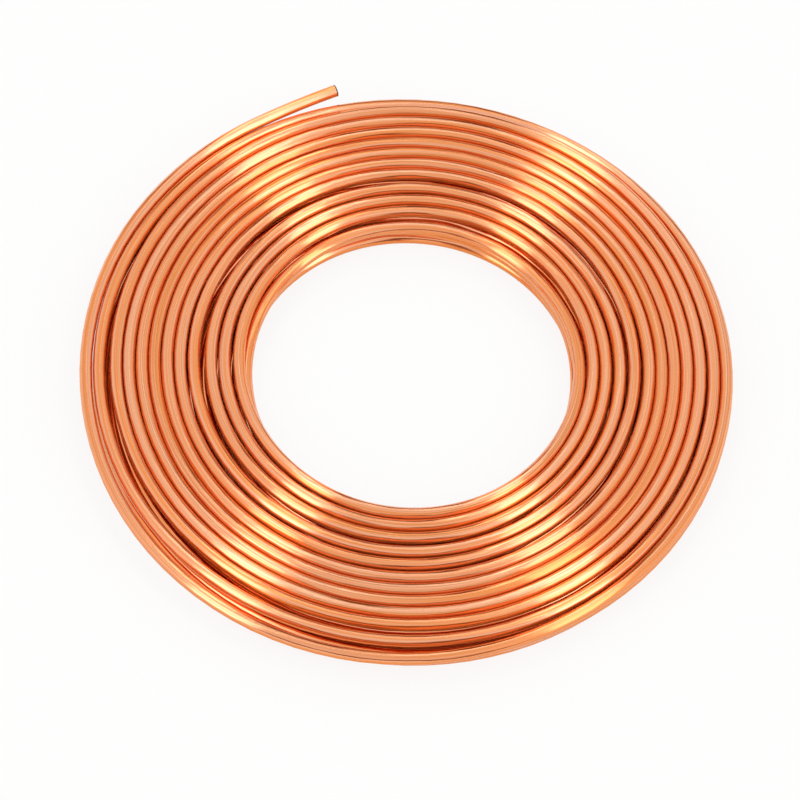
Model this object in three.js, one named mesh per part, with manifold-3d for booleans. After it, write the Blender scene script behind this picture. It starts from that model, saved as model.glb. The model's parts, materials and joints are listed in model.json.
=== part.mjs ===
// Copper tube coil: one length of soft copper tube, wound flat in three layers of turns.
// Millimetres, +Z up. The coil lies on z = 0, and its bounding box is centred on the Z axis.
//
// The wound body is one turned solid with its eye. A section of stacked round lobes, one for
// each layer, is carried along a flat spiral, and every turn shares its groove line with the
// turn beside it. So the turns show as round ridges on both ends, and the layers show as
// round ribs on the walls. The loose end leaves the last turn as a real tube with its bore.
import * as THREE from 'three';
import { mergeVertices } from 'three/addons/utils/BufferGeometryUtils.js';
import Module from 'manifold-3d';

// Driving dimensions
const tubeDiameter = 12;
const tubeWall = 1;
const layers = 3;
const turnsPerLayer = 12.25;
const turnGap = 0.8; // between two turns of one layer
const layerGap = 0.1; // between two layers
const eyeRadius = 145; // clear of the tube, where the first turn starts
const leavingAngle = 124; // degrees from +X, where the loose end leaves the last turn
const looseLength = 92; // of the loose end, from the last turn to its cut
const looseBendRadius = 750; // the loose end has sprung almost straight
const openBoreLength = 78; // of the loose end, from its cut inwards

// Fineness of the faceted solids
const stepsPerTurn = 44;
const topRidgeFacets = 5; // odd, so that a level facet is in the middle
const baseRidgeFacets = 3;
const tubeSides = 12;
const looseSteps = 8;

// Sizes that follow
const tubeRadius = tubeDiameter / 2;
const boreRadius = tubeRadius - tubeWall;
const turnPitch = tubeDiameter + turnGap;
const layerPitch = tubeDiameter + layerGap;
const creaseHalfWidth = 0.35 * tubeRadius; // where two stacked tubes meet, as seen on a wall
const rootLength = tubeRadius; // of the loose end, inside the wound body
const cutOverrun = tubeWall; // of the bore's cutter, past the cut end
const lastStep = Math.round(turnsPerLayer * stepsPerTurn);
const baseHeight = tubeRadius; // of the lowest layer's centre line
const topHeight = tubeRadius + (layers - 1) * layerPitch;

// ---- The flat spiral ----------------------------------------------------------------------

// The turns run clockwise, seen from above, and grow outwards by one pitch a turn.
function spiralAngle(step) {
  const leaving = THREE.MathUtils.degToRad(leavingAngle);
  return leaving + ((lastStep - step) / stepsPerTurn) * 2 * Math.PI;
}

function spiralRadius(step) {
  return eyeRadius + tubeRadius + (step / stepsPerTurn) * turnPitch;
}

function spiralPoint(step, offset, height) {
  const angle = spiralAngle(step);
  const radius = spiralRadius(step) + offset;
  return new THREE.Vector3(radius * Math.cos(angle), radius * Math.sin(angle), height);
}

// ---- The section of one turn ---------------------------------------------------------------

// The points of half a tube's section between its two feet, as [offset, rise] from its centre.
// The facets lie outside the true circle and touch it.
function halfSection(facets) {
  const cornerRadius = tubeRadius / Math.cos(Math.PI / (2 * facets));
  const points = [];
  for (let corner = 1; corner < facets; corner += 1) {
    const angle = Math.PI * (1 - corner / facets);
    points.push([cornerRadius * Math.cos(angle), cornerRadius * Math.sin(angle)]);
  }
  return { cornerRadius, points };
}

const topRidge = halfSection(topRidgeFacets);
const baseRidge = halfSection(baseRidgeFacets);

// The points of a wall of stacked lobes between its lowest and its highest foot, going up, as
// [bulge, height]. The feet lie at the heights of the lowest and the highest centre line.
function wallSection() {
  const shoulderAngle = Math.PI / topRidgeFacets;
  const shoulderBulge = topRidge.cornerRadius * Math.cos(shoulderAngle);
  const shoulderRise = topRidge.cornerRadius * Math.sin(shoulderAngle);
  const points = [];
  for (let layer = 1; layer < layers; layer += 1) {
    const upper = baseHeight + layer * layerPitch;
    const lower = upper - layerPitch;
    points.push([shoulderBulge, lower + shoulderRise]);
    points.push([creaseHalfWidth, (lower + upper) / 2]);
    points.push([shoulderBulge, upper - shoulderRise]);
    if (layer < layers - 1) {
      points.push([topRidge.cornerRadius, upper]);
    }
  }
  return points;
}

// ---- The wound body ------------------------------------------------------------------------

// Collects corners and faces. A strip joins two rails, and its faces look to the left of the
// way from the first rail to the second, for someone who walks clockwise round the coil.
class SolidSkin {
  constructor() {
    this.corners = [];
    this.faces = [];
  }

  corner(point) {
    this.corners.push(point.x, point.y, point.z);
    return this.corners.length / 3 - 1;
  }

  rail(firstStep, finalStep, place) {
    const rail = new Map();
    for (let step = firstStep; step <= finalStep; step += 1) {
      rail.set(step, this.corner(place(step)));
    }
    return rail;
  }

  strip(nearRail, farRail, firstStep, finalStep) {
    for (let step = firstStep; step < finalStep; step += 1) {
      const near = [nearRail.get(step), nearRail.get(step + 1)];
      const far = [farRail.get(step), farRail.get(step + 1)];
      this.faces.push(near[0], near[1], far[1]);
      this.faces.push(near[0], far[1], far[0]);
    }
  }

  // A flat end. Each spot of its outline has a rail's corner, with its radius and height.
  end(outline, facesForward) {
    const flat = outline.map((spot) => new THREE.Vector2(spot.radius, spot.height));
    for (const triangle of THREE.ShapeUtils.triangulateShape(flat, [])) {
      const [a, b, c] = triangle.map((index) => outline[index].corner);
      this.faces.push(...orderedFace(flat, triangle, [a, b, c], facesForward));
    }
  }

  geometry() {
    const geometry = new THREE.BufferGeometry();
    geometry.setAttribute('position', new THREE.Float32BufferAttribute(this.corners, 3));
    geometry.setIndex(this.faces);
    return geometry;
  }
}

// Turns a triangle of a flat end so that it looks forward, clockwise round the coil, or back.
function orderedFace(flat, triangle, corners, facesForward) {
  const [p, q, r] = triangle.map((index) => flat[index]);
  const area = (q.x - p.x) * (r.y - p.y) - (q.y - p.y) * (r.x - p.x);
  const [a, b, c] = corners;
  return area > 0 === facesForward ? [a, b, c] : [a, c, b];
}

// The rail of feet along the grooves. Foot number n is the inner foot of the turn at step n
// and the outer foot of the turn one round before it. The first round of feet stands on the
// eye's wall, and the last on the outer wall.
function footPoint(foot, height, wallBulge) {
  if (foot < stepsPerTurn) {
    return spiralPoint(foot, -wallBulge, height);
  }
  if (foot > lastStep) {
    return spiralPoint(foot - stepsPerTurn, wallBulge, height);
  }
  return spiralPoint(foot, -turnPitch / 2, height);
}

// One end face of the coil: a round ridge on every turn. Its rails go outwards.
function ridgeRails(skin, feet, ridge, height, upwards) {
  const inner = ridge.points.map(([offset, rise]) => {
    const level = height + upwards * rise;
    return skin.rail(0, lastStep, (step) => spiralPoint(step, offset, level));
  });
  const outerFeet = new Map();
  for (let step = 0; step <= lastStep; step += 1) {
    outerFeet.set(step, feet.get(step + stepsPerTurn));
  }
  return [feet, ...inner, outerFeet];
}

// A wall of stacked lobes, its rails going up from the base feet to the top feet.
function wallRails(skin, baseFeet, topFeet, firstFoot, columnOf, side) {
  const finalFoot = firstFoot + stepsPerTurn;
  const lobes = wallSection().map(([bulge, height]) =>
    skin.rail(firstFoot, finalFoot, (foot) => spiralPoint(columnOf(foot), side * bulge, height)));
  return [baseFeet, ...lobes, topFeet];
}

function stripAll(skin, rails, firstStep, finalStep) {
  for (let index = 1; index < rails.length; index += 1) {
    skin.strip(rails[index - 1], rails[index], firstStep, finalStep);
  }
}

// The spots of an outline where a plane through the axis cuts a set of rails.
function spotsAt(skin, rails, step) {
  return rails.map((rail) => {
    const corner = rail.get(step);
    const [x, y, height] = skin.corners.slice(3 * corner, 3 * corner + 3);
    return { corner, radius: Math.hypot(x, y), height };
  });
}

function endOutline(skin, leftWall, top, rightWall, base, step, leftFoot, rightFoot) {
  return [
    ...spotsAt(skin, leftWall, leftFoot),
    ...spotsAt(skin, top, step).slice(1, -1),
    ...spotsAt(skin, rightWall, rightFoot).reverse(),
    ...spotsAt(skin, base, step).slice(1, -1).reverse(),
  ];
}

function makeWoundBody() {
  const skin = new SolidSkin();
  const finalFoot = lastStep + stepsPerTurn;
  const wallBulge = topRidge.cornerRadius;
  const topFeet = skin.rail(0, finalFoot, (foot) => footPoint(foot, topHeight, wallBulge));
  const baseFeet = skin.rail(0, finalFoot, (foot) => footPoint(foot, baseHeight, wallBulge));
  const top = ridgeRails(skin, topFeet, topRidge, topHeight, 1);
  const base = ridgeRails(skin, baseFeet, baseRidge, baseHeight, -1);
  const eyeWall = wallRails(skin, baseFeet, topFeet, 0, (foot) => foot, -1);
  const oneRoundBack = (foot) => foot - stepsPerTurn;
  const outerWall = wallRails(skin, baseFeet, topFeet, lastStep, oneRoundBack, 1);

  stripAll(skin, top, 0, lastStep);
  stripAll(skin, [...base].reverse(), 0, lastStep);
  stripAll(skin, eyeWall, 0, stepsPerTurn);
  stripAll(skin, [...outerWall].reverse(), lastStep, finalFoot);

  const firstEnd = endOutline(skin, eyeWall, top, eyeWall, base, 0, 0, stepsPerTurn);
  const finalEnd = endOutline(skin, outerWall, top, outerWall, base, lastStep, lastStep, finalFoot);
  skin.end(firstEnd, false);
  skin.end(finalEnd, true);
  return skin.geometry();
}

// ---- The loose end -------------------------------------------------------------------------

// The centre line of the loose end: straight inside the wound body, then a wide arc that turns
// clockwise, as the coil does. It is measured from the place where it leaves the last turn.
class LooseLine extends THREE.Curve {
  constructor(from, to) {
    super();
    this.from = from;
    this.to = to;
    this.start = spiralPoint(lastStep, 0, topHeight);
    const growth = turnPitch / (2 * Math.PI * spiralRadius(lastStep));
    this.heading = spiralAngle(lastStep) - Math.PI / 2 + Math.atan(growth);
  }

  getPoint(share) {
    const along = this.from + share * (this.to - this.from);
    const turned = Math.max(along, 0) / looseBendRadius;
    const straight = Math.min(along, 0);
    const heading = this.heading - turned;
    const forward = Math.sin(this.heading) - Math.sin(heading);
    const sideways = Math.cos(heading) - Math.cos(this.heading);
    return new THREE.Vector3(
      this.start.x + straight * Math.cos(this.heading) + looseBendRadius * forward,
      this.start.y + straight * Math.sin(this.heading) + looseBendRadius * sideways,
      this.start.z,
    );
  }
}

function roundSection(radius) {
  const points = [];
  for (let side = 0; side < tubeSides; side += 1) {
    const angle = ((side + 0.5) / tubeSides) * 2 * Math.PI;
    points.push(new THREE.Vector2(radius * Math.cos(angle), radius * Math.sin(angle)));
  }
  return new THREE.Shape(points);
}

function roundBar(radius, from, to) {
  const extrudePath = new LooseLine(from, to);
  return new THREE.ExtrudeGeometry(roundSection(radius), { extrudePath, steps: looseSteps });
}

// ---- Joins and cuts ------------------------------------------------------------------------

const wasm = await Module();
wasm.setup();

function toSolid(geometry) {
  const bare = geometry.clone();
  bare.deleteAttribute('normal');
  bare.deleteAttribute('uv');
  const merged = mergeVertices(bare);
  const vertProperties = new Float32Array(merged.attributes.position.array);
  const triVerts = new Uint32Array(merged.index.array);
  return new wasm.Manifold(new wasm.Mesh({ numProp: 3, vertProperties, triVerts }));
}

function toGeometry(solid) {
  const mesh = solid.getMesh();
  const geometry = new THREE.BufferGeometry();
  geometry.setAttribute('position', new THREE.BufferAttribute(mesh.vertProperties, 3));
  geometry.setIndex(new THREE.BufferAttribute(mesh.triVerts, 1));
  geometry.computeVertexNormals();
  return geometry;
}

function makeCoil() {
  const woundBody = toSolid(makeWoundBody());
  const looseEnd = toSolid(roundBar(tubeRadius, -rootLength, looseLength));
  const boreStart = looseLength - openBoreLength;
  const bore = toSolid(roundBar(boreRadius, boreStart, looseLength + cutOverrun));
  return toGeometry(woundBody.add(looseEnd).subtract(bore));
}

// ---- The scene -----------------------------------------------------------------------------

const copper = new THREE.MeshStandardMaterial({
  color: new THREE.Color(0.93, 0.55, 0.36),
  roughness: 0.22,
  metalness: 1,
});

const coil = new THREE.Mesh(makeCoil(), copper);
coil.name = 'copper_tube_coil';

// The loose end reaches past the round of the coil, so the box is centred after the build.
coil.geometry.computeBoundingBox();
const box = coil.geometry.boundingBox;
coil.position.set(-(box.min.x + box.max.x) / 2, -(box.min.y + box.max.y) / 2, -box.min.z);

const group = new THREE.Group();
group.add(coil);
export default group;
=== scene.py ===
# %% [markdown]
# # A flat coil of soft copper tube
# Copper tube for water and cooling pipes is sold in flat coils: one long tube, wound turn beside
# turn in stacked layers round an open eye, with one loose end. It is one piece of bright metal,
# so two things make it look right: the path that the tube takes, and the way that its polished
# skin mirrors its neighbours. This lesson makes the whole coil as one tube with Geometry Nodes,
# and then gives it a procedural skin of drawn copper.

# %% Load the solid model as a fixed frame
import json
import math

import bmesh
import bpy
from mathutils import Matrix, Vector


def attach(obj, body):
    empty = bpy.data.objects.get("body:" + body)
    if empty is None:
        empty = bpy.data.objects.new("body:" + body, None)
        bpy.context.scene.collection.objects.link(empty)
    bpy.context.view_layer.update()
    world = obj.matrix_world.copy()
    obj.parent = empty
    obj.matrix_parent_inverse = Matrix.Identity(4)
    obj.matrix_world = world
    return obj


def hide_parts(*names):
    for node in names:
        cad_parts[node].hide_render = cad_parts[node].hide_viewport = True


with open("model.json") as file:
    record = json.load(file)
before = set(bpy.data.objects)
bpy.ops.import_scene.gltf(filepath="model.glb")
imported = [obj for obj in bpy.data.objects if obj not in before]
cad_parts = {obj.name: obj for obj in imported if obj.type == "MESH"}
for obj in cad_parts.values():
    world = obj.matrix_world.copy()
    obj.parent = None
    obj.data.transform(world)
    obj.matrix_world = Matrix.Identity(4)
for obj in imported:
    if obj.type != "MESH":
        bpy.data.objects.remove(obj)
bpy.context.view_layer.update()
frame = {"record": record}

# %% [markdown]
# ## Sizes
# The tube is 12 mm across with a wall of 1 mm. It starts inside the coil at the eye, winds
# outwards in the lowest layer, climbs at the rim, winds inwards in the middle layer, climbs again
# at the eye, and winds outwards in the top layer until it leaves as the loose end. Angles are in
# degrees from +X. Every turn runs clockwise from above.

# %% Sizes of the tube and of its winding
MM = 0.001
TUBE_DIAMETER = 12.0 * MM
TUBE_WALL = 1.0 * MM
EYE_RADIUS = 145.0 * MM
TURN_GAP = 0.8 * MM
LAYER_GAP = 0.1 * MM
TOP_TURNS = 12.25
LOOSE_LENGTH = 92.0 * MM
LOOSE_BEND_RADIUS = 750.0 * MM
BORE_LENGTH = 78.0 * MM

TUBE_RADIUS = TUBE_DIAMETER / 2
BORE_RADIUS = TUBE_RADIUS - TUBE_WALL
TURN_PITCH = TUBE_DIAMETER + TURN_GAP
LAYER_PITCH = TUBE_DIAMETER + LAYER_GAP
FIRST_RADIUS = EYE_RADIUS + TUBE_RADIUS
LAST_RADIUS = FIRST_RADIUS + TOP_TURNS * TURN_PITCH
print(f"the centre line winds from a radius of {FIRST_RADIUS:.4f} m to {LAST_RADIUS:.4f} m")

# %% [markdown]
# The cut end's centre and the way that it faces are known from the solid model, where a fitting
# is pushed on. Going back from there along the loose end's wide arc gives the place where the
# tube leaves the coil, and from that follows the axis that the whole coil is wound round.

# %% Find the winding's axis from the cut end
mounts = {mount["name"]: mount for mount in frame["record"]["mounts"]}
cut_end = mounts["tube_end"]
cut_centre = Vector(cut_end["pos_m"][:2])
cut_heading = math.atan2(cut_end["axis"][1], cut_end["axis"][0])
leaving_heading = cut_heading + LOOSE_LENGTH / LOOSE_BEND_RADIUS
growth_slope = TURN_PITCH / (2 * math.pi * LAST_RADIUS)
leaving_angle = leaving_heading + math.pi / 2 - math.atan(growth_slope)
arc_chord = LOOSE_BEND_RADIUS * Vector((
    math.sin(leaving_heading) - math.sin(cut_heading),
    math.cos(cut_heading) - math.cos(leaving_heading),
))
leaving_spot = LAST_RADIUS * Vector((math.cos(leaving_angle), math.sin(leaving_angle)))
axis_spot = cut_centre - arc_chord - leaving_spot
print(f"the loose end leaves at {math.degrees(leaving_angle):.2f} degrees")
print("the winding's axis stands at", tuple(round(value, 5) for value in axis_spot))

# %% [markdown]
# ## Where each layer begins and ends
# The path is measured in turns from the hidden inner end. Both climbs are short stretches of a
# turn. The top layer has to end at the leaving angle, so the angle of the very first point
# follows from the sum of all the turns.

# %% The plan of the three layers, in turns
LOW_TURNS = 11.6
RIM_CLIMB = 40 / 360
MIDDLE_TURNS = 11.25
EYE_JOIN = 50 / 360

low_end = LOW_TURNS
middle_start = low_end + RIM_CLIMB
middle_end = middle_start + MIDDLE_TURNS
top_start = middle_end + EYE_JOIN
all_turns = top_start + TOP_TURNS
first_angle = (math.degrees(leaving_angle) + 360 * all_turns) % 360
print(f"{all_turns:.2f} turns, with the first point at {first_angle:.0f} degrees")

# %% [markdown]
# ## A little arithmetic with nodes
# Geometry Nodes work on whole lists of numbers at once: one Math node adds or multiplies a number
# at every point of a mesh. A long formula needs many such nodes, and wiring them one by one hides
# the formula. So this helper class stands for one such number. Adding, multiplying or subtracting
# two of them in Python adds the Math node that does it in the tree.

# %% A number at every point, with ordinary arithmetic
class Field:
    """A number at every point of a mesh, held by a socket of the tree or by a plain constant."""

    tree = None

    def __init__(self, source):
        self.source = source

    def plug_into(self, socket):
        if isinstance(self.source, (int, float)):
            socket.default_value = self.source
        else:
            Field.tree.links.new(self.source, socket)

    def __add__(self, other):
        return calculate("ADD", self, other)

    def __radd__(self, other):
        return calculate("ADD", other, self)

    def __sub__(self, other):
        return calculate("SUBTRACT", self, other)

    def __rsub__(self, other):
        return calculate("SUBTRACT", other, self)

    def __mul__(self, other):
        return calculate("MULTIPLY", self, other)

    def __rmul__(self, other):
        return calculate("MULTIPLY", other, self)

    def __truediv__(self, other):
        return calculate("DIVIDE", self, other)


def as_field(value):
    return value if isinstance(value, Field) else Field(value)


def calculate(operation, *values):
    node = Field.tree.nodes.new("ShaderNodeMath")
    node.operation = operation
    for socket, value in zip(node.inputs, values):
        as_field(value).plug_into(socket)
    return Field(node.outputs[0])


def cosine(value):
    return calculate("COSINE", value)


def sine(value):
    return calculate("SINE", value)


print("Field arithmetic is ready")

# %% [markdown]
# Three more helpers read well in the rules that follow. `ramp` follows a straight line between
# two places and stays level outside them. `ease` does the same along a soft S, which is how a
# tube climbs from layer to layer. `reading` follows straight lines through a few measured spots,
# held by Float Curve nodes, and rounds the corners. A curve with automatic handles would swing
# past the spots, and then neighbouring turns would run into each other. A mean of three lines
# can't: where every turn keeps its distance on the lines, it also does on their mean.

# %% Ramps, easings and readings
CORNER_ROUNDING = 0.03  # of a turn


def map_range(value, start, end, low, high, interpolation):
    node = Field.tree.nodes.new("ShaderNodeMapRange")
    node.interpolation_type = interpolation
    node.clamp = True
    for name, part in (("Value", value), ("From Min", start), ("From Max", end),
                       ("To Min", low), ("To Max", high)):
        as_field(part).plug_into(node.inputs[name])
    return Field(node.outputs["Result"])


def ramp(value, start, end, low, high):
    return map_range(value, start, end, low, high, "LINEAR")


def ease(value, start, end):
    return map_range(value, start, end, 0.0, 1.0, "SMOOTHSTEP")


def straight_reading(value, spots):
    """Straight lines from spot to spot, each (place, millimetres), and level outside them."""
    first_place = spots[0][0]
    last_place = spots[-1][0]
    node = Field.tree.nodes.new("ShaderNodeFloatCurve")
    node.mapping.use_clip = False
    points = node.mapping.curves[0].points
    while len(points) < len(spots):
        points.new(0.5, 0.5)
    for point, (place, height) in zip(points, spots):
        point.location = ((place - first_place) / (last_place - first_place), height)
        point.handle_type = "VECTOR"
    node.mapping.update()
    ramp(value, first_place, last_place, 0.0, 1.0).plug_into(node.inputs["Value"])
    return Field(node.outputs["Value"]) * MM


def reading(value, spots):
    """The same lines with their corners rounded, as the mean of three places close together."""
    before = straight_reading(value - CORNER_ROUNDING, spots)
    after = straight_reading(value + CORNER_ROUNDING, spots)
    return (before + straight_reading(value, spots) + after) / 3.0


print("ramp, ease and reading are ready")

# %% [markdown]
# ## The tree and its inputs
# The tree's inputs are the sizes that someone may want to change: the tube, the radius at the
# eye, the distance between turns and layers, the loose end, and how finely the tube is divided.
# They are named sockets, so they also show in the modifier's panel.

# %% Start the tree and name its inputs
STEPS_A_TURN = 96
SIDES = 20

tree = bpy.data.node_groups.new("wound copper tube", "GeometryNodeTree")
Field.tree = tree
tree.interface.new_socket("Geometry", in_out="OUTPUT", socket_type="NodeSocketGeometry")
size_values = {
    "Tube Radius": TUBE_RADIUS,
    "Bore Radius": BORE_RADIUS,
    "First Radius": FIRST_RADIUS,
    "Turn Pitch": TURN_PITCH,
    "Layer Pitch": LAYER_PITCH,
    "Loose Length": LOOSE_LENGTH,
    "Loose Bend Radius": LOOSE_BEND_RADIUS,
    "Bore Length": BORE_LENGTH,
}
count_values = {"Steps A Turn": STEPS_A_TURN, "Sides": SIDES}
socket_names = {}
for name in size_values:
    socket = tree.interface.new_socket(name, in_out="INPUT", socket_type="NodeSocketFloat")
    socket_names[name] = socket.identifier
for name in count_values:
    socket = tree.interface.new_socket(name, in_out="INPUT", socket_type="NodeSocketInt")
    socket_names[name] = socket.identifier
skin_socket = tree.interface.new_socket("Skin", in_out="INPUT", socket_type="NodeSocketMaterial")

group_input = tree.nodes.new("NodeGroupInput")
size = {name: Field(group_input.outputs[name]) for name in socket_names}
print("inputs:", ", ".join(socket_names))

# %% [markdown]
# ## Stations along the tube
# The skin starts as a flat grid. Its long side is the tube's length, in stations, and its short
# side goes once round the tube. Each point finds out its station and its place round the tube
# from its index. The grid's first and last few stations are kept for the two cut ends. The sides
# are counted clockwise as the tube runs away from the reader, so that the faces look outwards.
# Whole numbers are always compared half way between two of them, where rounding can't decide.

# %% Lay out the grid of stations and sides
END_STATIONS = 9
LOOSE_STATIONS = 12

wound_stations = calculate("CEIL", size["Steps A Turn"] * all_turns)
last_station = wound_stations + LOOSE_STATIONS
grid_rows = last_station + 2 * END_STATIONS + 1
grid_columns = size["Sides"] + 1

grid = tree.nodes.new("GeometryNodeMeshGrid")
grid_rows.plug_into(grid.inputs["Vertices X"])
grid_columns.plug_into(grid.inputs["Vertices Y"])

point_index = Field(tree.nodes.new("GeometryNodeInputIndex").outputs[0])
row = calculate("FLOOR", (point_index + 0.5) / grid_columns)
column = point_index - row * grid_columns
around = column / size["Sides"] * (-2 * math.pi)
on_first_side = calculate("LESS_THAN", column, 0.5)
on_last_side = calculate("GREATER_THAN", column, size["Sides"] - 0.5)
is_seam = on_first_side + on_last_side
row_past_end = row - END_STATIONS
station = calculate("MINIMUM", calculate("MAXIMUM", row_past_end, 0.0), last_station)
into_end = calculate("ABSOLUTE", row_past_end - station)
print(f"{math.ceil(STEPS_A_TURN * all_turns)} wound stations with {SIDES} sides each")

# %% [markdown]
# ## Two hollow cut ends
# At both ends the skin turns round the rim and goes back inside as the bore. So the stations of
# an end are: the outer edge of the rim, its inner edge, then a few stations down the bore, and
# one last station of no radius, which closes the bore deep inside. `into_end` counts them.

# %% The radius and the depth of every station
RIM_ROUNDING = 0.12 * MM
RIM_INSIDE = 2.0
BORE_START = 3.0
BORE_END = END_STATIONS - 1.0

rim_drop = ramp(into_end, 0.0, 1.0, 0.0, RIM_ROUNDING)
outside_radius = size["Tube Radius"] - rim_drop
inside_radius = size["Bore Radius"] + ramp(into_end, RIM_INSIDE, BORE_START, RIM_ROUNDING, 0.0)
is_inside = calculate("GREATER_THAN", into_end, RIM_INSIDE - 0.5)
is_pole = calculate("GREATER_THAN", into_end, BORE_END + 0.5)
skin_radius = (outside_radius + is_inside * (inside_radius - outside_radius)) * (1.0 - is_pole)

rim_depth = ramp(into_end, 0.0, 1.0, RIM_ROUNDING, 0.0)
rounding_depth = ramp(into_end, RIM_INSIDE, BORE_START, 0.0, RIM_ROUNDING)
bore_depth = ramp(into_end, BORE_START, BORE_END, 0.0, 1.0) * size["Bore Length"]
depth = rim_depth + is_inside * (rounding_depth + bore_depth)
print(f"the bore is {2 * BORE_RADIUS / MM:.2f} mm wide and {BORE_LENGTH / MM:.0f} mm deep at both ends")

# %% [markdown]
# ## From a station to a place on the path
# Two numbers say where a station is: how many turns it is from the inner end, and how far it is
# out on the loose end. Stations inside a bore go back by their depth. The winding's last step is
# cut short, so that it ends exactly at the leaving angle and the cut lies where the model has it.

# %% Turns wound and length of the loose end
at_start = calculate("LESS_THAN", row_past_end, 0.5)
at_finish = 1.0 - at_start
start_depth_in_turns = depth * at_start / (size["First Radius"] * (2 * math.pi))
wound_station = calculate("MINIMUM", station, wound_stations)
turns = calculate("MINIMUM", wound_station / size["Steps A Turn"], all_turns) + start_depth_in_turns
loose_station = station - wound_station
loose_reached = loose_station / LOOSE_STATIONS * size["Loose Length"]
loose = calculate("MAXIMUM", loose_reached - depth * at_finish, 0.0)
angle = leaving_angle + (all_turns - turns) * (2 * math.pi)
print("each station has its turns, its angle and its length on the loose end")

# %% [markdown]
# ## The two lower layers
# Of the lower layers only the edges show: through the gaps of the top layer, round the eye and
# below the rim. So two even stretches are enough for each: outwards at the bottom, inwards in the
# middle. The stretches are packed differently, so that a tube of the bottom layer lies below most
# gaps of the middle one and hides the floor. Both layers have slid a few millimetres to the near
# side, more at the eye than at the rim.

# %% The radius of the lower layers
LOW_FIRST_RADIUS = 157.5 * MM
LOW_LOOSE_TURNS = 4.5
LOW_LOOSE_RADIUS = 216.5 * MM
LOW_LAST_RADIUS = 304.2 * MM
RIM_STEP_DELAY = 0.35  # of the climb, so that the tube is above its neighbour before it moves in
MIDDLE_FIRST_RADIUS = 301.0 * MM
MIDDLE_TIGHT_TURNS = 6.73
MIDDLE_TIGHT_RADIUS = 218.0 * MM
MIDDLE_LAST_RADIUS = 158.1 * MM
SLIDE_AT_EYE = Vector((-3.0 * MM, -9.0 * MM))
SLIDE_AT_RIM = Vector((0.0, -6.5 * MM))

low_start = ramp(turns, 0.0, LOW_LOOSE_TURNS, LOW_FIRST_RADIUS, LOW_LOOSE_RADIUS)
low_rest = ramp(turns, LOW_LOOSE_TURNS, low_end, 0.0, LOW_LAST_RADIUS - LOW_LOOSE_RADIUS)
low_radius = low_start + low_rest
step_start = low_end + RIM_STEP_DELAY * RIM_CLIMB
rim_step = ease(turns, step_start, middle_start) * (LOW_LAST_RADIUS - MIDDLE_FIRST_RADIUS)
tight_end = middle_start + MIDDLE_TIGHT_TURNS
tight_shrink = MIDDLE_FIRST_RADIUS - MIDDLE_TIGHT_RADIUS
wide_shrink = MIDDLE_TIGHT_RADIUS - MIDDLE_LAST_RADIUS
middle_step = ramp(turns, middle_start, tight_end, 0.0, tight_shrink)
middle_step = middle_step + ramp(turns, tight_end, middle_end, 0.0, wide_shrink)
lower_radius = low_radius - rim_step - middle_step
near_rim = (lower_radius - LOW_FIRST_RADIUS) / (LOW_LAST_RADIUS - LOW_FIRST_RADIUS)
slide_x = SLIDE_AT_EYE.x + near_rim * (SLIDE_AT_RIM.x - SLIDE_AT_EYE.x)
slide_y = SLIDE_AT_EYE.y + near_rim * (SLIDE_AT_RIM.y - SLIDE_AT_EYE.y)
slid_radius = lower_radius + slide_x * cosine(angle) + slide_y * sine(angle)
print(f"lower layers: {LOW_FIRST_RADIUS / MM:.0f} to {LOW_LAST_RADIUS / MM:.0f} mm from the axis")

# %% [markdown]
# ## The top layer
# An even spiral would grow by the same pitch every turn. A real coil is slack in places, so
# `slack` says how far the tube lies outside its even place. Most of the unevenness is in the
# first turn and the last one, which need many spots close together. So the winding is read in
# three stretches, and each starts where the one before it ended.

# %% The radius of the top layer
SLACK_AT_EYE = (
    (0.0, 10.7), (0.1, 4.6), (0.2, -0.2), (0.3, -3.8), (0.45, -4.3), (0.6, 2.7), (0.75, 2.3),
    (1.0, -0.5), (1.5, 2.4),
)
SLACK_BETWEEN = (
    (1.5, 2.4), (2.0, 0.8), (2.5, 1.8), (3.0, 1.1), (3.5, 2.3), (3.95, 3.3), (4.2, 5.6),
    (4.45, 5.6), (4.7, 2.4), (5.0, 5.0), (6.0, 4.4), (8.0, 3.1), (9.5, 2.3), (10.5, 1.7),
)
SLACK_AT_RIM = (
    (10.5, 1.7), (11.0, 7.8), (11.2, 1.2), (11.4, 0.1), (11.6, 2.3), (11.72, 3.7), (11.8, 8.8),
    (11.86, 12.9), (11.94, 13.7), (12.01, 9.4), (12.08, 4.5), (12.15, 2.2), (12.2, 0.6),
    (12.25, 0.0),
)

top_turn = ramp(turns, top_start, all_turns, 0.0, TOP_TURNS)
slack = as_field(SLACK_AT_EYE[0][1] * MM)
for spots in (SLACK_AT_EYE, SLACK_BETWEEN, SLACK_AT_RIM):
    slack = slack + (reading(top_turn, spots) - spots[0][1] * MM)
top_radius = size["First Radius"] + top_turn * size["Turn Pitch"] + slack
top_share = ease(turns, middle_end, top_start)
path_radius = slid_radius + (top_radius - slid_radius) * top_share
print("the slack reaches", max(millimetres for place, millimetres in SLACK_AT_RIM), "mm near the rim")

# %% [markdown]
# ## The height and the loose end
# The tube rests in one of three levels and eases from level to level in the two climbs. On the
# far side the last turn but one has dropped into the gap beside the layer below. The loose end
# has sprung out: it leaves along the coil's own direction and bends on a much wider arc.
# `forward` and `inward` are how far the arc has gone from the place where it left.

# %% The centre line
EYE_CLIMB = 0.3
SAG = (
    (11.2, 0.0), (11.255, 2.5), (11.3, 6.0), (11.344, 8.0), (11.428, 7.3), (11.47, 5.5),
    (11.51, 3.0), (11.56, 0.8), (11.6, 0.0),
)

climbed = ease(turns, low_end, middle_start) + ease(top_turn, 0.0, EYE_CLIMB)
path_height = size["Tube Radius"] + climbed * size["Layer Pitch"] - reading(top_turn, SAG)

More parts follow.
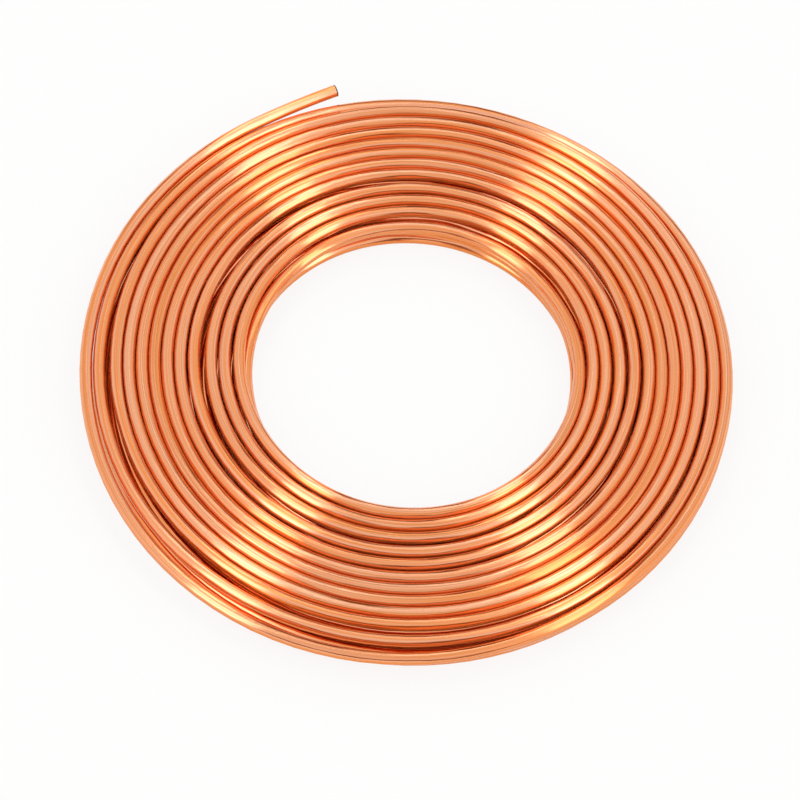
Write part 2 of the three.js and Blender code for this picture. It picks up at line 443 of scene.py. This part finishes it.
growth_angle = math.atan(growth_slope)
is_loose = calculate("GREATER_THAN", loose, 0.0)
heading_turn = loose / size["Loose Bend Radius"] - growth_angle * is_loose
forward = size["Loose Bend Radius"] * (sine(heading_turn) + math.sin(growth_angle)) * is_loose
inward = size["Loose Bend Radius"] * (math.cos(growth_angle) - cosine(heading_turn)) * is_loose

outward_x = cosine(angle)
outward_y = sine(angle)
centre_x = axis_spot.x + (path_radius - inward) * outward_x + forward * outward_y
centre_y = axis_spot.y + (path_radius - inward) * outward_y - forward * outward_x
print("the centre line is written")

# %% [markdown]
# ## The round skin
# Every station's ring stands square to the path: one of its directions is up, and the other
# points away from the coil's axis. On the loose end that direction turns with the arc.

# %% Place every point of the skin
side_angle = angle - heading_turn
reach = skin_radius * cosine(around)
rise = skin_radius * sine(around)

place = tree.nodes.new("ShaderNodeCombineXYZ")
(centre_x + reach * cosine(side_angle)).plug_into(place.inputs["X"])
(centre_y + reach * sine(side_angle)).plug_into(place.inputs["Y"])
(path_height + rise).plug_into(place.inputs["Z"])

set_position = tree.nodes.new("GeometryNodeSetPosition")
tree.links.new(grid.outputs["Mesh"], set_position.inputs["Geometry"])
tree.links.new(place.outputs["Vector"], set_position.inputs["Position"])
print("the skin's points are placed by", len(tree.nodes), "nodes")

# %% [markdown]
# ## Coordinates for the drawing lines
# A tube is pulled through a die, which leaves faint lines along it. For a pattern to follow
# them, the skin carries its own coordinates: two numbers that go round the tube on a circle, so
# that they have no seam, and the length from the inner end in metres.

# %% Store the skin's own coordinates
MEAN_RADIUS = (FIRST_RADIUS + LAST_RADIUS) / 2
length_along = turns * (2 * math.pi * MEAN_RADIUS) + loose

drawn = tree.nodes.new("ShaderNodeCombineXYZ")
cosine(around).plug_into(drawn.inputs["X"])
sine(around).plug_into(drawn.inputs["Y"])
length_along.plug_into(drawn.inputs["Z"])

store = tree.nodes.new("GeometryNodeStoreNamedAttribute")
store.data_type = "FLOAT_VECTOR"
store.domain = "POINT"
store.inputs["Name"].default_value = "drawn"
tree.links.new(set_position.outputs["Geometry"], store.inputs["Geometry"])
tree.links.new(drawn.outputs["Vector"], store.inputs["Value"])
print("attribute: drawn")

# %% [markdown]
# ## Close the skin
# The grid's two long edges now lie on each other, and so do the points of both poles. Merging
# them by distance makes one closed skin. Only the seam and the poles are merged, because turns
# that touch would otherwise be welded to each other. The rims of the cut ends are sharp, and
# every other edge is shaded smooth.

# %% Merge, shade and finish the tree
MERGE_DISTANCE = 0.01 * MM
SHARP_ANGLE = math.radians(40)

merge = tree.nodes.new("GeometryNodeMergeByDistance")
merge.inputs["Distance"].default_value = MERGE_DISTANCE
may_merge = calculate("GREATER_THAN", is_seam + is_pole, 0.5)
may_merge.plug_into(merge.inputs["Selection"])
tree.links.new(store.outputs["Geometry"], merge.inputs["Geometry"])

edge_angle = tree.nodes.new("GeometryNodeInputMeshEdgeAngle")
is_sharp = calculate("GREATER_THAN", Field(edge_angle.outputs["Unsigned Angle"]), SHARP_ANGLE)
smooth_edges = tree.nodes.new("GeometryNodeSetShadeSmooth")
smooth_edges.domain = "EDGE"
(1.0 - is_sharp).plug_into(smooth_edges.inputs["Shade Smooth"])
tree.links.new(merge.outputs["Geometry"], smooth_edges.inputs["Geometry"])

smooth_faces = tree.nodes.new("GeometryNodeSetShadeSmooth")
smooth_faces.domain = "FACE"
tree.links.new(smooth_edges.outputs["Geometry"], smooth_faces.inputs["Geometry"])

realize = tree.nodes.new("GeometryNodeRealizeInstances")
tree.links.new(smooth_faces.outputs["Geometry"], realize.inputs["Geometry"])
set_skin = tree.nodes.new("GeometryNodeSetMaterial")
tree.links.new(realize.outputs["Geometry"], set_skin.inputs["Geometry"])
tree.links.new(group_input.outputs["Skin"], set_skin.inputs["Material"])
group_output = tree.nodes.new("NodeGroupOutput")
tree.links.new(set_skin.outputs["Geometry"], group_output.inputs["Geometry"])
print("the tree has", len(tree.nodes), "nodes")

# %% [markdown]
# ## The skin of drawn copper
# Bright copper shows its colour in what it mirrors. A plain colour would look like paint, and an
# image would need a seam. So one procedural noise makes all the patterns here: stretched along
# the tube, through the coordinates that the skin carries, it turns into streaks. `between` then
# picks the part of the noise that a pattern uses.

# %% A noise that is stretched along the tube
copper = bpy.data.materials.new("drawn copper")
copper.use_nodes = True
nodes = copper.node_tree.nodes
links = copper.node_tree.links
shader = nodes["Principled BSDF"]

coordinates = nodes.new("ShaderNodeAttribute")
coordinates.attribute_name = "drawn"


def streaks(round_the_tube, along_each_metre, detail):
    stretch = nodes.new("ShaderNodeVectorMath")
    stretch.operation = "MULTIPLY"
    stretch.inputs[1].default_value = (round_the_tube, round_the_tube, along_each_metre)
    links.new(coordinates.outputs["Vector"], stretch.inputs[0])
    noise = nodes.new("ShaderNodeTexNoise")
    noise.inputs["Scale"].default_value = 1.0
    noise.inputs["Detail"].default_value = detail
    links.new(stretch.outputs["Vector"], noise.inputs["Vector"])
    return noise.outputs["Fac"]


def between(factor, low, high, start, end):
    node = nodes.new("ShaderNodeMapRange")
    for name, value in (("From Min", low), ("From Max", high), ("To Min", start), ("To Max", end)):
        node.inputs[name].default_value = value
    links.new(factor, node.inputs["Value"])
    return node.outputs["Result"]


print("streaks follow the tube")

# %% [markdown]
# The die and the annealing leave the skin a little different from place to place: orange in one
# stretch and pink in the next, each a few decimetres long and fading into the other. Brown stains
# run through both, about a millimetre wide and much longer. Each is a colour that a mask of
# streaks lets in.

# %% The colour, from orange to pink, and its stains
ORANGE_COPPER = (0.97, 0.33, 0.105, 1.0)
PINK_COPPER = (1.0, 0.465, 0.265, 1.0)
PINK_START = 0.38
PINK_END = 0.6
STAIN_COPPER = (0.56, 0.2, 0.06, 1.0)
STAIN_START = 0.56
STAIN_END = 0.66
STAIN_STRENGTH = 0.65

tone = nodes.new("ShaderNodeMix")
tone.data_type = "RGBA"
tone.inputs["A"].default_value = ORANGE_COPPER
tone.inputs["B"].default_value = PINK_COPPER
long_patches = streaks(round_the_tube=1.6, along_each_metre=2.5, detail=4.0)
pinkness = between(long_patches, PINK_START, PINK_END, 0.0, 1.0)
links.new(pinkness, tone.inputs["Factor"])

stain = nodes.new("ShaderNodeMix")
stain.data_type = "RGBA"
stain.inputs["B"].default_value = STAIN_COPPER
links.new(tone.outputs["Result"], stain.inputs["A"])
thin_stripes = streaks(round_the_tube=7.5, along_each_metre=1.2, detail=3.0)
stained = between(thin_stripes, STAIN_START, STAIN_END, 0.0, STAIN_STRENGTH)
links.new(stained, stain.inputs["Factor"])
print("the colour runs from", ORANGE_COPPER[:3], "to", PINK_COPPER[:3])

# %% [markdown]
# The two sides of the tube, which face its neighbours across the grooves, are painted browner than its
# crown: painted shade between the turns. The skin's first coordinate runs from -1 on the inner side to
# 1 on the outer one, so its size tells how near a spot is to a side. There the metal's share is lowered
# as well, so that the sides scatter some light, which a mirror doesn't. It keeps the grooves from going
# black.

# %% The sides of the tube, browned with painted shade
# painted shade: the brown that the sides of every turn get in the base colour, down in the grooves
SIDE_SHADE_COPPER = (0.82, 0.24, 0.03, 1.0)
SIDE_SHADE_STRENGTH = 0.85
SIDE_METAL_SHARE = 0.6
SIDE_SHADE_START = 0.72
SIDE_SHADE_END = 0.985

parts = nodes.new("ShaderNodeSeparateXYZ")
links.new(coordinates.outputs["Vector"], parts.inputs[0])
sideness = nodes.new("ShaderNodeMath")
sideness.operation = "ABSOLUTE"
links.new(parts.outputs["X"], sideness.inputs[0])
# the mask of the painted shade, strongest at the very sides of the tube
side_shade = between(sideness.outputs[0], SIDE_SHADE_START, SIDE_SHADE_END, 0.0, SIDE_SHADE_STRENGTH)
shaded_sides = nodes.new("ShaderNodeMix")
shaded_sides.data_type = "RGBA"
shaded_sides.inputs["B"].default_value = SIDE_SHADE_COPPER
links.new(stain.outputs["Result"], shaded_sides.inputs["A"])
links.new(side_shade, shaded_sides.inputs["Factor"])
metal_share = between(sideness.outputs[0], SIDE_SHADE_START, SIDE_SHADE_END, 1.0, SIDE_METAL_SHARE)
links.new(metal_share, shader.inputs["Metallic"])
print("rubbed from", SIDE_SHADE_START, "of the way to the side")

# %% [markdown]
# The last millimetre of the loose end is painted nearly black. The length that the skin carries says
# how near a spot is to the cut, so a mask of it darkens the rim and the mouth of the bore.

# %% The dark cut
CUT_COPPER = (0.05, 0.03, 0.02, 1.0)
CUT_WIDTH = 1.3 * MM
CUT_FULLY_DARK = 0.7 * CUT_WIDTH

skin_length = all_turns * 2 * math.pi * MEAN_RADIUS + LOOSE_LENGTH
near_cut = between(parts.outputs["Z"], skin_length - CUT_WIDTH, skin_length - CUT_FULLY_DARK, 0.0, 1.0)
cut_tone = nodes.new("ShaderNodeMix")
cut_tone.data_type = "RGBA"
cut_tone.inputs["B"].default_value = CUT_COPPER
links.new(near_cut, cut_tone.inputs["Factor"])
links.new(shaded_sides.outputs["Result"], cut_tone.inputs["A"])
links.new(cut_tone.outputs["Result"], shader.inputs["Base Color"])
print(f"the skin's own coordinate runs to {skin_length:.1f} m")

# %% [markdown]
# ## Gloss and drawing lines
# Fine lines along the tube come from the die: they change the gloss and tilt the skin a little.
# A second, slower wave comes from winding the tube. It is about half a millimetre deep, and a
# mirror shows it: it makes each turn catch the light at its own place. Both are too shallow to
# show in the outline, so bump is enough and the mesh stays light.

# %% Gloss, fine lines and slow waves
SMOOTHEST = 0.07
ROUGHEST = 0.15
LINES_START = 0.3
LINES_END = 0.7
LINE_DEPTH = 0.12 * MM
LINE_STRENGTH = 0.25
WAVE_DEPTH = 1.4 * MM
WAVE_STRENGTH = 1.0

fine_lines = streaks(round_the_tube=11.0, along_each_metre=1.2, detail=2.0)
slow_waves = streaks(round_the_tube=0.9, along_each_metre=13.0, detail=1.0)
roughness = between(fine_lines, LINES_START, LINES_END, SMOOTHEST, ROUGHEST)
links.new(roughness, shader.inputs["Roughness"])

line_bump = nodes.new("ShaderNodeBump")
line_bump.inputs["Strength"].default_value = LINE_STRENGTH
line_bump.inputs["Distance"].default_value = LINE_DEPTH
links.new(fine_lines, line_bump.inputs["Height"])
wave_bump = nodes.new("ShaderNodeBump")
wave_bump.inputs["Strength"].default_value = WAVE_STRENGTH
wave_bump.inputs["Distance"].default_value = WAVE_DEPTH
links.new(slow_waves, wave_bump.inputs["Height"])
links.new(line_bump.outputs["Normal"], wave_bump.inputs["Normal"])
links.new(wave_bump.outputs["Normal"], shader.inputs["Normal"])
print("material:", copper.name)

# %% [markdown]
# ## From the tree to a finished mesh
# A modifier on an empty mesh runs the tree with the sizes from above, each set by its socket's
# identifier. The finished coil should be a plain mesh that any program can read, so the tree's
# result is copied into a mesh of its own, and the holder goes with its modifier. A grid starts
# with an empty material slot, which no face uses once the copper is on, so that goes too. The
# coil's object stands at the origin, unturned and unscaled.

# %% Grow the tube and bake it
holder = bpy.data.objects.new("tube holder", bpy.data.meshes.new("tube holder"))
bpy.context.scene.collection.objects.link(holder)
modifier = holder.modifiers.new("wound copper tube", "NODES")
modifier.node_group = tree
for name, value in {**size_values, **count_values}.items():
    modifier[socket_names[name]] = value
modifier[skin_socket.identifier] = copper
bpy.context.view_layer.update()
evaluated = holder.evaluated_get(bpy.context.evaluated_depsgraph_get())
tube_mesh = bpy.data.meshes.new_from_object(evaluated)
tube_mesh.name = "wound_tube"
if tube_mesh.materials[0] is None:
    tube_mesh.materials.pop(index=0)
coil = bpy.data.objects.new("wound_tube", tube_mesh)
bpy.context.scene.collection.objects.link(coil)
bpy.data.objects.remove(holder)
print("tube:", len(tube_mesh.vertices), "points,", len(tube_mesh.polygons), "faces")
print("its only material:", [material.name for material in tube_mesh.materials])

# %% [markdown]
# A closed skin whose faces look outwards has no open edge and a volume above nought. The volume
# is that of the solid tube, less its two open bores. Then the frame is told what the coil is: it
# rides on the one body, stands in for the solid model, and has the copper slot.

# %% Test the mesh and give it to the frame
test_mesh = bmesh.new()
test_mesh.from_mesh(tube_mesh)
open_edges = sum(1 for edge in test_mesh.edges if not edge.is_manifold)
volume = test_mesh.calc_volume(signed=True)
test_mesh.free()
print(f"{open_edges} open edges, {volume * 1e6:.1f} cm3 inside the skin")

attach(coil, "root")
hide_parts("copper_tube_coil")

# %% [markdown]
# ## The paper
# A studio stands its subject on a sheet of white paper that turns up at the far edge, so that a
# low camera sees paper as well. The coil lies in its middle, and the sheet is far wider than the
# coil, so that the copper mirrors paper on every side. It belongs to the stage, not to the coil.

# %% Cut the sheet
PAPER_RADIUS = 12.0
PAPER_RIM = 1.5
PAPER_SIDES = 64
PAPER_DROP = 0.2 * MM  # below the coil, so that the two never lie in one plane

flat_edge = []
rim_edge = []
for side in range(PAPER_SIDES):
    heading = 2 * math.pi * side / PAPER_SIDES
    east = PAPER_RADIUS * math.cos(heading)
    north = PAPER_RADIUS * math.sin(heading)
    flat_edge.append((east, north, 0.0))
    rim_edge.append((east, north, PAPER_RIM))
sheet_faces = [tuple(range(PAPER_SIDES))]
for side in range(PAPER_SIDES):
    after = (side + 1) % PAPER_SIDES
    sheet_faces.append((after, side, side + PAPER_SIDES, after + PAPER_SIDES))
floor_mesh = bpy.data.meshes.new("floor")
floor_mesh.from_pydata(flat_edge + rim_edge, [], sheet_faces)
floor = bpy.data.objects.new("floor", floor_mesh)
bpy.context.scene.collection.objects.link(floor)
floor.location.z = -PAPER_DROP
print("a sheet", 2 * PAPER_RADIUS, "m across")

# %% [markdown]
# The paper has to look white and still show the coil's shadow, so it is a mix of two shaders. The
# rays that see it, straight or in a mirror, meet mostly a glow of strength 1, which is white, and
# a share of matt paper, which takes the shadow. All other light meets the matt paper alone.

# %% The paper's glow and its matt face
PAPER_WHITE = (0.9, 0.9, 0.9, 1.0)
WHITE_GLOW = 1.0
PAPER_GLOW = 0.85  # of what is seen, and the rest is matt paper

paper = bpy.data.materials.new("floor paper")
paper.use_nodes = True
Field.tree = paper.node_tree
nodes = paper.node_tree.nodes
links = paper.node_tree.links
matt = nodes["Principled BSDF"]
matt.inputs["Base Color"].default_value = PAPER_WHITE
matt.inputs["Roughness"].default_value = 1.0
matt.inputs["Specular IOR Level"].default_value = 0.0
glow = nodes.new("ShaderNodeEmission")
glow.inputs["Strength"].default_value = WHITE_GLOW
light_path = nodes.new("ShaderNodeLightPath")
seen = Field(light_path.outputs["Is Camera Ray"])
for ray_kind in ("Is Glossy Ray", "Is Transmission Ray"):
    seen = calculate("MAXIMUM", seen, Field(light_path.outputs[ray_kind]))
blend = nodes.new("ShaderNodeMixShader")
(seen * PAPER_GLOW).plug_into(blend.inputs["Fac"])
links.new(matt.outputs[0], blend.inputs[1])
links.new(glow.outputs[0], blend.inputs[2])
links.new(blend.outputs[0], nodes["Material Output"].inputs["Surface"])
floor_mesh.materials.append(paper)
print("material:", paper.name)

# %% [markdown]
# ## The camera
# The coil is seen from 60 degrees above the floor through a long lens, which keeps the far side
# nearly as large as the near one. The camera is tilted a little about its line of view, and the
# coil's axis stands beside the middle of the view, so the camera aims at a spot next to it.

# %% Where the camera stands and aims
ELEVATION = math.radians(60.41)
DISTANCE = 4.264
AXIS_HEIGHT = 19.75 * MM
LENS = 200.5
SENSOR_WIDTH = 36.0
VIEW_WIDTH = 800
AXIS_COLUMN = 411.2  # of the square view, in pixels from its left edge
AXIS_ROW = 368.0  # in pixels from its top edge
ROLL = math.radians(-4.03)

target = Vector((axis_spot.x, axis_spot.y, AXIS_HEIGHT))
towards_camera = Vector((0.0, -math.cos(ELEVATION), math.sin(ELEVATION)))
camera_spot = target + towards_camera * DISTANCE
level_right = Vector((1.0, 0.0, 0.0))
level_up = Vector((0.0, math.sin(ELEVATION), math.cos(ELEVATION)))
view_right = level_right * math.cos(ROLL) - level_up * math.sin(ROLL)
view_up = level_up * math.cos(ROLL) + level_right * math.sin(ROLL)
pixel_size = SENSOR_WIDTH / VIEW_WIDTH / LENS * DISTANCE  # in metres, at the coil
pixels_right = AXIS_COLUMN - VIEW_WIDTH / 2
pixels_up = VIEW_WIDTH / 2 - AXIS_ROW
aim = target - view_right * (pixels_right * pixel_size) - view_up * (pixels_up * pixel_size)
print("camera at", tuple(round(value, 3) for value in camera_spot))

# %% [markdown]
# A camera looks along its own -Z, with +X to the right of its view and +Y up it. So three
# directions square to each other, written as the columns of a matrix, are its rotation.

# %% Set up the camera
CLIP_END = 100.0

z_axis = (camera_spot - aim).normalized()
x_axis = (view_right - z_axis * view_right.dot(z_axis)).normalized()
y_axis = z_axis.cross(x_axis)
camera_data = bpy.data.cameras.new("camera")
camera_data.lens = LENS
camera_data.sensor_width = SENSOR_WIDTH
camera_data.clip_end = CLIP_END
camera = bpy.data.objects.new("camera", camera_data)
bpy.context.scene.collection.objects.link(camera)
bpy.context.scene.camera = camera
camera.location = camera_spot
camera.rotation_euler = Matrix((x_axis, y_axis, z_axis)).transposed().to_euler()
print("a lens of", LENS, "mm")

# %% [markdown]
# ## A studio that gives the metal something to mirror
# Polished metal has hardly any light and shade of its own: it shows what it mirrors. So the room
# is lit with long soft boxes, and the horizon stays dark, which turns the tube's sides brown.
# Each patch of skin mirrors one direction into the camera, and the skin's slope there lies half
# way between that direction and the camera. So the boxes are laid out by that half-way slope: a
# box over a fan of its compass angles lights every turn that runs square to the fan. The same
# arithmetic as before does it, because a sky has Math nodes too.

# %% The light's own compass
SMALLEST_SLOPE = 0.001  # keeps the division by the slope safe where it is level

studio = bpy.data.worlds.new("studio")
bpy.context.scene.world = studio
studio.use_nodes = True
Field.tree = studio.node_tree
nodes = studio.node_tree.nodes
links = studio.node_tree.links

sky_direction = nodes.new("ShaderNodeTexCoord")
sky_parts = nodes.new("ShaderNodeSeparateXYZ")
links.new(sky_direction.outputs["Generated"], sky_parts.inputs[0])
sky_east = Field(sky_parts.outputs["X"])
slope_x = sky_east + towards_camera.x
slope_y = Field(sky_parts.outputs["Y"]) + towards_camera.y
sky_height = Field(sky_parts.outputs["Z"])
slope_size = calculate("SQRT", slope_x * slope_x + slope_y * slope_y)
steepness = calculate("MAXIMUM", slope_size, SMALLEST_SLOPE)
print("the sky knows its half-way slope")

# %% [markdown]
# The sky is one formula: a level overhead, a little dimmer in four wide fans, falling to a dark
# warm horizon, with four narrow soft boxes added. In the east and the west the sky reaches lower.
# The numbers are kept so that a white card lying level under the sky reads about 1, which is
# white: a colour then shows about as it is written, and stays right under other light.

# %% Soft boxes and a dark horizon
SOFT_BOXES = (  # compass angle of the slope, half width and soft edge in degrees, brightness
    (123, 5, 6, 1.7),
    (60, 3.5, 4.5, 1.7),
    (-53, 4, 5, 1.5),
    (-121, 4, 5, 1.45),
)
DIM_FANS = (  # the same four numbers
    (75, 9, 12, -0.2),
    (-96, 10, 20, -0.08),
    (0, 16, 30, -0.07),
    (180, 16, 30, -0.07),
)


def fan(compass_angle, half_width, soft_edge, brightness):
    facing = math.radians(compass_angle)
    aligned = (slope_x * math.cos(facing) + slope_y * math.sin(facing)) / steepness
    outer = math.cos(math.radians(half_width + soft_edge))
    inner = math.cos(math.radians(half_width))
    return ease(aligned, outer, inner) * brightness


SKY_LEVEL = 0.94
overhead = as_field(SKY_LEVEL)
for shape in DIM_FANS:
    overhead = overhead + fan(*shape)
boxes = as_field(0.0)
for shape in SOFT_BOXES:
    boxes = boxes + fan(*shape)
print(len(SOFT_BOXES), "soft boxes and", len(DIM_FANS), "dim fans")

# %% [markdown]
# Heights in the sky are sines of the angle above the floor, because a direction's Z is that sine.
# The horizon has a warm tint, which the copper turns into brown.

# %% Let the sky fall to the horizon
HORIZON_LEVEL = 0.19
HORIZON_START = math.sin(math.radians(15))
HORIZON_END = math.sin(math.radians(44))
SIDE_START = 0.35
SIDE_END = 0.75
SIDE_LIFT = 0.44
BOX_START = math.sin(math.radians(3))
BOX_END = math.sin(math.radians(16))
HORIZON_TINT = (1.0, 0.45, 0.2, 1.0)
SKY_TINT = (1.0, 1.0, 1.0, 1.0)

sideways = ramp(calculate("ABSOLUTE", sky_east), SIDE_START, SIDE_END, 0.0, SIDE_LIFT)
above_horizon = ease(sky_height + sideways, HORIZON_START, HORIZON_END)
level = (overhead - HORIZON_LEVEL) * above_horizon + HORIZON_LEVEL
level = level + boxes * ease(sky_height, BOX_START, BOX_END)
level.plug_into(nodes["Background"].inputs["Strength"])
sky_tint = nodes.new("ShaderNodeMix")
sky_tint.data_type = "RGBA"
sky_tint.inputs["A"].default_value = HORIZON_TINT
sky_tint.inputs["B"].default_value = SKY_TINT
above_horizon.plug_into(sky_tint.inputs["Factor"])
links.new(sky_tint.outputs["Result"], nodes["Background"].inputs["Color"])
print("the horizon keeps", HORIZON_LEVEL, "of the light")

# %% [markdown]
# ## Finish
# The Standard view shows colours as they are written.

# %% Set the view transform
bpy.context.scene.view_settings.view_transform = "Standard"
